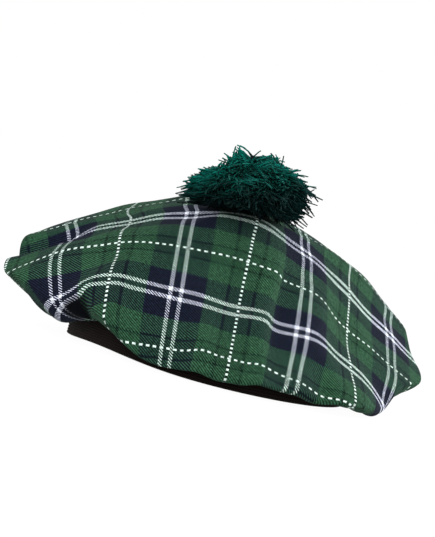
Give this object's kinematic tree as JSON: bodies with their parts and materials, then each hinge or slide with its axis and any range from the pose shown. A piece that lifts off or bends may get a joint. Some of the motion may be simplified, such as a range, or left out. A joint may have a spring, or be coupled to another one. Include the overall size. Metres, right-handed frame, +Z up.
{
  "type": "tam o'shanter hat",
  "caption": "Soft wide tartan cloth bonnet with a teal yarn pompom, gathered into a dark ribbed headband and slumped as when worn.",
  "frame": {"origin": "middle of the hat's bounding box, on the surface its headband stands on", "axes": "+Z up along the headband's axis, -Y towards the side that the picture shows, +X to that side's right"},
  "size_m": [0.2795, 0.2517, 0.1436],
  "materials": {
    "tartan_twill": "matt green, navy and white tartan with visible twill ribs",
    "ribbed_knit": "matt, nearly black brown, with fine ribs that run round",
    "pompom_yarn": "soft teal green yarn, dark between the tufts"
  },
  "bodies": {
    "root": {"crown": "tartan_twill", "headband": "ribbed_knit", "pompom": "pompom_yarn"}
  },
  "joints": []
}
